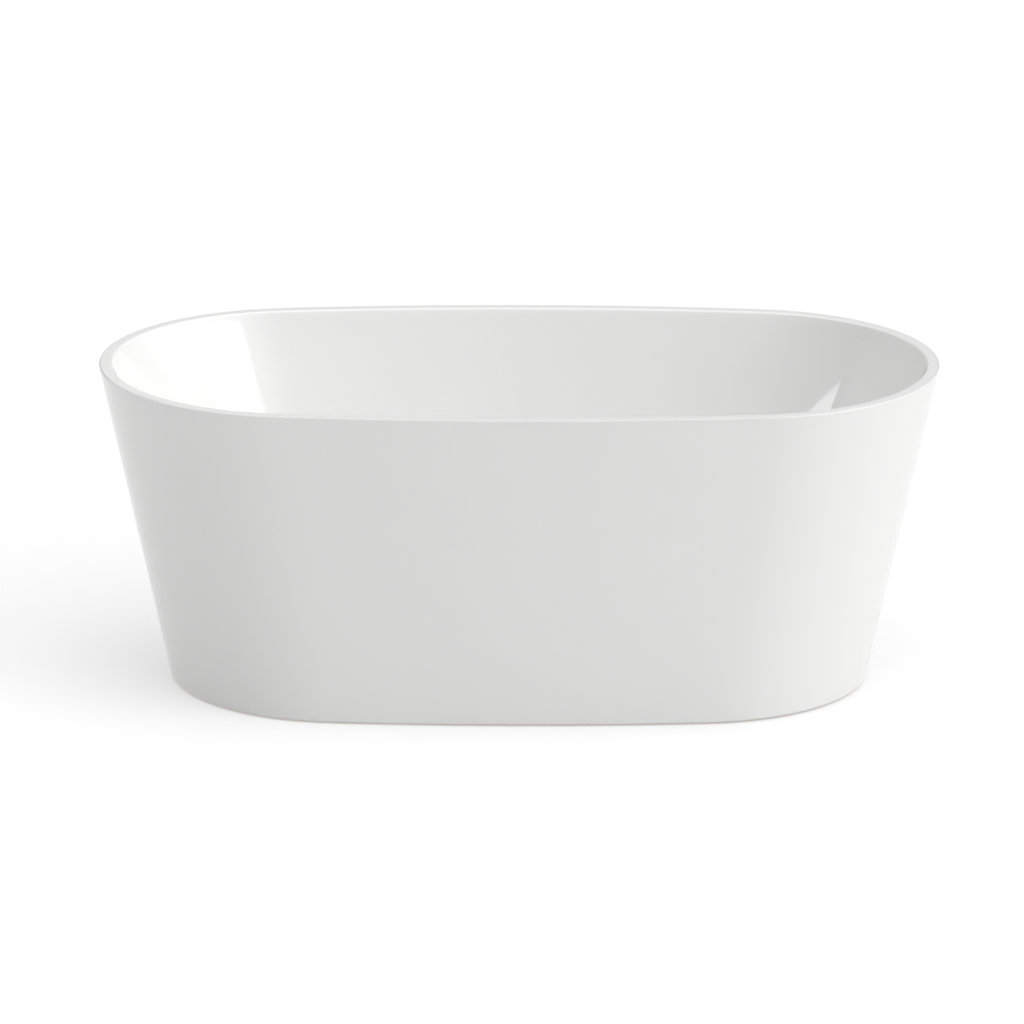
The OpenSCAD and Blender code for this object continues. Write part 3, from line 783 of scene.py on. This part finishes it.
class BuildSkirt(bpy.types.Operator):
    """Builds the outer skirt, the polished joint under the rim and the stiffener in the foot"""

    bl_idname = "bathtub.build_skirt"
    bl_label = "Outer skirt"

    def execute(self, context):
        sizes = context.scene.bathtub_sizes
        colours = context.scene.bathtub_colours
        wall = sizes.skirt_wall
        edge = 3 * MM
        # The skirt and the rim's joint take the darker copy of the acrylic: painted shade.
        acrylic = bpy.data.materials["skirt_acrylic"]
        fibre = bpy.data.materials["glass_fibre_backing"]
        loft = Loft(skirt_outer(sizes, SKIRT_FOOT, wall))
        loft.step(skirt_outer(sizes, SKIRT_FOOT, edge + 1 * MM))
        for q in range(90, -1, -15):
            turn = math.radians(q)
            z = SKIRT_FOOT + edge * (1 - math.sin(turn))
            loft.step(skirt_outer(sizes, z, edge * (1 - math.cos(turn))))
        low = SKIRT_FOOT + edge + 1 * MM
        high = SKIRT_TOP - 1 * MM
        loft.run([skirt_outer(sizes, low + (high - low) * i / 16) for i in range(17)])
        loft.step(skirt_outer(sizes, SKIRT_TOP))
        loft.finish = 1
        loft.step(skirt_outer(sizes, SKIRT_TOP, wall))
        drop = SKIRT_FOOT - SKIRT_TOP
        loft.run([skirt_outer(sizes, SKIRT_TOP + drop * i / 8, wall) for i in range(1, 9)])
        skirt = place_mesh(loft.merged(), "skirt", [acrylic, fibre], "tub")
        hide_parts("outer_skirt")

        low, high = SKIRT_TOP - 0.1 * MM, RIM_Z - sizes.shell_wall + 0.1 * MM
        loft = Loft(skirt_outer(sizes, low, 0.05 * MM))
        loft.run([skirt_outer(sizes, high, 0.05 * MM), skirt_outer(sizes, high, wall - 0.5 * MM)])
        loft.run([skirt_outer(sizes, low, wall - 0.5 * MM), skirt_outer(sizes, low, 0.05 * MM)])
        joint = place_mesh(loft.merged(), "rim_joint", [acrylic], "tub")
        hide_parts("rim_bond")

        low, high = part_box("skirt_stiffener")[0].z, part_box("skirt_stiffener")[1].z
        near, far = wall + 0.8 * MM, wall + 15.8 * MM
        loft = Loft(skirt_outer(sizes, low, near))
        loft.run([skirt_outer(sizes, high, near), skirt_outer(sizes, high, far)])
        loft.run([skirt_outer(sizes, low, far), skirt_outer(sizes, low, near)])
        ring = place_mesh(loft.merged(), "foot_stiffener", [plywood(colours.plywood)], "tub")
        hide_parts("skirt_stiffener")
        return {"FINISHED"}


# ---- fittings ----


class BuildFittings(bpy.types.Operator):
    """Builds the plug's cap and spring, the overflow's cover and its ribbed hose"""

    bl_idname = "bathtub.build_fittings"
    bl_label = "Waste and overflow fittings"

    def execute(self, context):
        fittings = context.scene.bathtub_fittings
        to_wall, tilt = wall_frame(context.scene.bathtub_sizes)
        self.cap()
        self.spring(fittings)
        self.cover(fittings, to_wall)
        self.hose(fittings, to_wall, tilt)
        return {"FINISHED"}

    def cap(self):
        low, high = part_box("plug_cap")
        radius = high.x
        bore, deep = 3.1 * MM, 2.9 * MM
        profile = [(0, low.z + deep), (bore, low.z + deep), (bore, low.z), (radius - 1.2 * MM, low.z)]
        profile += arc(radius - MM, low.z + MM, MM, -80, 0, 5)
        shoulder = low.z + 2.4 * MM
        profile += arc(radius - 1.8 * MM, shoulder, 1.8 * MM, 0, 82, 8)
        edge, crown = profile[-1]
        for i in range(1, 13):
            t = i / 12
            profile.append((edge * (1 - t), crown + (high.z - crown) * (1 - (1 - t) ** 2)))
        chrome = bpy.data.materials["chrome_plate"]
        dome = place_mesh(turned(profile), "plug_dome", [chrome], "plug", TURNED_SHARP)
        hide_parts("plug_cap")

    def spring(self, sizes):
        low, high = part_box("plug_spring")
        wire = sizes.spring_wire / 2
        coil = high.x - wire
        rise = high.z - low.z - 2 * wire
        steps = round(28 * sizes.spring_turns)
        rings = []
        for k in range(steps + 1):
            turn = math.tau * sizes.spring_turns * k / steps
            out = Vector((math.cos(turn), math.sin(turn), 0))
            centre = out * coil + Vector((0, 0, low.z + wire + rise * k / steps))
            ring = [math.tau * i / 14 for i in range(14)]
            rings.append(
                [centre + out * wire * math.cos(q) + Vector((0, 0, wire * math.sin(q))) for q in ring]
            )
        loft = Loft(rings[0])
        loft.run(rings[1:])
        bmesh.ops.holes_fill(loft.mesh, edges=loft.mesh.edges[:])
        zinc = bpy.data.materials["zinc_plated_steel"]
        spring = place_mesh(loft.mesh, "plug_coil", [zinc], "tub")
        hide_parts("plug_spring")
        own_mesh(spring)

    def cover(self, sizes, to_wall):
        radius = sizes.cover_diameter / 2
        inner = radius - 3 * MM
        profile = [(0, 3 * MM), (inner, 3 * MM), (inner, 0.6 * MM), (radius - 0.5 * MM, 0.6 * MM)]
        profile += arc(radius - 0.5 * MM, 1.1 * MM, 0.5 * MM, -90, 0, 3)
        profile += arc(radius - 2 * MM, 4 * MM, 2 * MM, 0, 90, 8)
        profile += [(radius * 0.6, 6 * MM), (0, 6 * MM)]
        holes = [(18 * MM, 0), (-18 * MM, 0), (0, 14 * MM), (0, -14 * MM)]
        cutters = [rod(2.6 * MM, -MM, 10 * MM)]
        for x, y in holes:
            cutters.append(moved(rod(3.5 * MM, -MM, 10 * MM), Matrix.Translation((x, y, 0))))
        for x in (-18 * MM, 0, 18 * MM):
            cutters.append(block((12 * MM, 8 * MM, 4 * MM), (x, inner, MM)))
        chrome = bpy.data.materials["chrome_plate"]
        cover = place_mesh(turned(profile), "overflow_rose", [chrome], "tub", TURNED_SHARP)
        cut(cover, cutters)
        cover.data.transform(to_wall)
        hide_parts("overflow_cover")

    def hose(self, sizes, to_wall, tilt):
        radius = sizes.hose_diameter / 2
        bend = sizes.hose_bend
        end_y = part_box("overflow_hose")[1].y
        end_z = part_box("overflow_hose")[0].z + radius
        start = to_wall @ Vector((0, sizes.hose_down, -sizes.hose_behind))
        along = Vector((0, math.sin(tilt), -math.cos(tilt)))
        inward = Vector((0, math.cos(tilt), math.sin(tilt)))
        straight = (start.z - end_z - bend * (1 - math.sin(tilt))) / math.cos(tilt)
        hub = start + along * straight + inward * bend
        sweep = math.pi / 2 - tilt
        total = straight + bend * sweep + end_y - hub.y
        ribs = round(total / sizes.rib_pitch)

        def ring(gone, size):
            if gone <= straight:
                return self.hose_ring(start + along * gone, along, size)
            q = (gone - straight) / bend
            if q <= sweep:
                heading = along * math.cos(q) + inward * math.sin(q)
                centre = hub + bend * (along * math.sin(q) - inward * math.cos(q))
                return self.hose_ring(centre, heading, size)
            last = Vector((0, gone - straight - bend * sweep, -bend))
            return self.hose_ring(hub + last, Vector((0, 1, 0)), size)

        rings = []
        for k in range(4 * ribs + 1):
            deep = sizes.rib_depth if k % 4 in (2, 3) and 12 < k < 4 * ribs - 12 else 0
            rings.append(ring(total * k / (4 * ribs), radius - deep))
        bore = [ring(total * k / 40, sizes.hose_bore / 2) for k in range(41)]
        loft = Loft(rings[0])
        loft.run(rings[1:] + bore[::-1] + rings[:1])
        grey = bpy.data.materials["hose_plastic"]
        made = place_mesh(loft.merged(), "ribbed_hose", [grey], "tub", RIB_SHARP)
        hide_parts("overflow_hose")

    def hose_ring(self, point, heading, radius):
        across = heading.cross(Vector((1, 0, 0)))
        return [
            point + Vector((1, 0, 0)) * radius * math.cos(q) + across * radius * math.sin(q)
            for q in [math.tau * i / 32 for i in range(32)]
        ]


# ---- carried-over frame pieces ----

FINISH_OF = {
    "plywood": ["skirt_blocks", "base_board"],
    "powder_coated_steel": [
        "rail_front", "rail_back", "crossbar_left", "crossbar_middle", "crossbar_right",
    ],
    "black_plastic": ["tube_caps"] + [f"foot_pad_{i}" for i in range(1, 6)],
    "zinc_plated_steel": [
        "frame_bolts", "board_screws", "skirt_brackets", "bracket_screws", "weld_nuts", "lock_nuts",
        "clamp_top", "clamp_bottom",
    ] + [f"foot_stud_{i}" for i in range(1, 6)],
    "chrome_plate": ["waste_flange", "overflow_screw", "tailpiece"],
    "turned_brass": ["back_nut", "plug_stem"],
    "black_rubber": [
        "flange_gasket", "lower_gasket", "plug_seal", "tee_washer", "tail_washer", "overflow_gasket",
    ],
    "white_plastic": [
        "plug_rotor", "plug_cartridge", "waste_tee", "tee_nut", "tail_nut", "overflow_body",
    ],
}


class FinishFrame(bpy.types.Operator):
    """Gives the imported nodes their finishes"""

    bl_idname = "bathtub.finish_frame"
    bl_label = "Frame and fittings finishes"

    def execute(self, context):
        colours = context.scene.bathtub_colours
        powder_coat(colours.steel_paint)
        zinc_plate()
        chrome_plate(colours.chrome)
        turned_brass(colours.brass)
        soft_rubber()
        moulded_plastic("black_plastic", (0.022, 0.022, 0.023), 0.42, 0.4)
        moulded_plastic("white_plastic", (0.80, 0.80, 0.78), 0.3, 0.15)
        moulded_plastic("hose_plastic", (0.60, 0.61, 0.61), 0.38, 0.3)
        for name, nodes in FINISH_OF.items():
            for node in nodes:
                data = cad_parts[node].data
                data.materials.clear()
                data.materials.append(bpy.data.materials[name])
        return {"FINISHED"}


# ---- studio ----


class BuildStudio(bpy.types.Operator):
    """Sets the pale floor, the soft light and the camera"""

    bl_idname = "bathtub.build_studio"
    bl_label = "Studio"

    def execute(self, context):
        scene = context.scene
        studio = scene.bathtub_studio
        colours = scene.bathtub_colours
        mesh = bmesh.new()
        bmesh.ops.create_circle(mesh, cap_ends=True, segments=96, radius=FLOOR_RADIUS)
        bmesh.ops.translate(mesh, verts=mesh.verts[:], vec=(0, 0, cad_box[0].z))
        ground = place_mesh(mesh, "studio_floor", [studio_floor(colours.floor)], None)
        self.light_world(scene)
        self.light_lamps(scene)
        lens = bpy.data.cameras.new("camera")
        lens.lens = studio.lens
        lens.clip_end = CLIP_END
        camera = bpy.data.objects.new("camera", lens)
        scene.collection.objects.link(camera)
        tilt = studio.elevation
        camera.location = (
            studio.aim_side,
            -studio.distance * math.cos(tilt),
            studio.aim_height + studio.distance * math.sin(tilt),
        )
        turn = Matrix.Rotation(math.pi / 2 - tilt, 3, "X") @ Matrix.Rotation(studio.roll, 3, "Z")
        camera.rotation_euler = turn.to_euler()
        scene.camera = camera
        scene.view_settings.view_transform = "Standard"
        return {"FINISHED"}

    def light_world(self, scene):
        """A soft room: bright overhead and low on the right, dim in front, white to the camera."""
        world = bpy.data.worlds.new("studio_world")
        world.use_nodes = True
        scene.world = world
        sheet = Sheet(world.node_tree)
        look = sheet.node("ShaderNodeTexCoord", out="Generated")
        x, y, z = (sheet.node("ShaderNodeSeparateXYZ", {}, {0: look}, i) for i in range(3))
        above = 0.98 * z + 0.12 * x - 0.17 * y
        side = 0.9 * x - 0.42 * y - 0.12 * z
        glow = 0.02 + 1.65 * above.between(0.45, 0.97) + 0.24 * y.between(-0.2, 0.8)
        glow = glow + 0.36 * x.between(0.35, 1.0) + 0.06 * (0 - x).between(0.3, 0.95)
        glow = glow + 2.1 * side.between(0.5, 1.0)
        glow = glow + 0.45 * y.between(-0.03, 0.05) * (0 - x).between(0.55, 0.75)
        seen = sheet.node("ShaderNodeLightPath", out="Is Camera Ray")
        glow = glow * (1 - seen) + seen * BACKDROP
        sky = sheet.node("ShaderNodeBackground", {}, {0: (1, 1, 1, 1), 1: glow})
        output = sheet.tree.nodes.new("ShaderNodeOutputWorld")
        sheet.tree.links.new(sky.socket, output.inputs[0])

    def light_lamps(self, scene):
        """Two softboxes, a long one on the right and a short one on the left."""
        self.softbox("right_softbox", (-0.55, 0.27, 0.5), -35.5, 20.0, 3.0, (1.55, 0.36), 2.1)
        self.softbox("left_softbox", (0.54, 0.235, 0.44), -162.0, 18.2, 2.5, (0.85, 0.22), 4.5)

    def softbox(self, name, start, bearing, rise, reach, size, radiance):
        """A rectangular lamp facing back to start, in the direction of bearing and rise."""
        lamp = bpy.data.lights.new(name, "AREA")
        lamp.shape = "RECTANGLE"
        lamp.size, lamp.size_y = size
        lamp.energy = radiance * math.pi * size[0] * size[1]
        made = bpy.data.objects.new(name, lamp)
        side, up = math.radians(bearing), math.radians(rise)
        away = Vector((math.cos(side) * math.cos(up), math.sin(side) * math.cos(up), math.sin(up)))
        made.location = Vector(start) + away * reach
        made.rotation_euler = (-away).to_track_quat("-Z", "Y").to_euler()
        made.visible_camera = False
        bpy.context.scene.collection.objects.link(made)


# ---- registering ----

PIECES = (BuildBasin, BuildSkirt, FinishFrame, BuildFittings, BuildStudio)


class BathtubPanel(bpy.types.Panel):
    """Lists the steps that build the bathtub"""

    bl_idname = "VIEW3D_PT_bathtub"
    bl_label = "Bathtub"
    bl_space_type = "VIEW_3D"
    bl_region_type = "UI"
    bl_category = "Bathtub"

    def draw(self, context):
        for piece in PIECES:
            self.layout.operator(piece.bl_idname)


GROUPS = {
    "bathtub_sizes": BathtubSizes,
    "bathtub_fittings": BathtubFittings,
    "bathtub_colours": BathtubColours,
    "bathtub_studio": BathtubStudio,
}


def register():
    for group in GROUPS.values():
        bpy.utils.register_class(group)
    for name, group in GROUPS.items():
        setattr(bpy.types.Scene, name, bpy.props.PointerProperty(type=group))
    for piece in PIECES + (BathtubPanel,):
        bpy.utils.register_class(piece)


def unregister():
    for piece in (BathtubPanel,) + PIECES[::-1]:
        bpy.utils.unregister_class(piece)
    for name, group in GROUPS.items():
        delattr(bpy.types.Scene, name)
        bpy.utils.unregister_class(group)


def main():
    register()
    bpy.ops.bathtub.build_basin()
    bpy.ops.bathtub.build_skirt()
    bpy.ops.bathtub.finish_frame()
    bpy.ops.bathtub.build_fittings()
    bpy.ops.bathtub.build_studio()


if __name__ == "__main__":
    main()
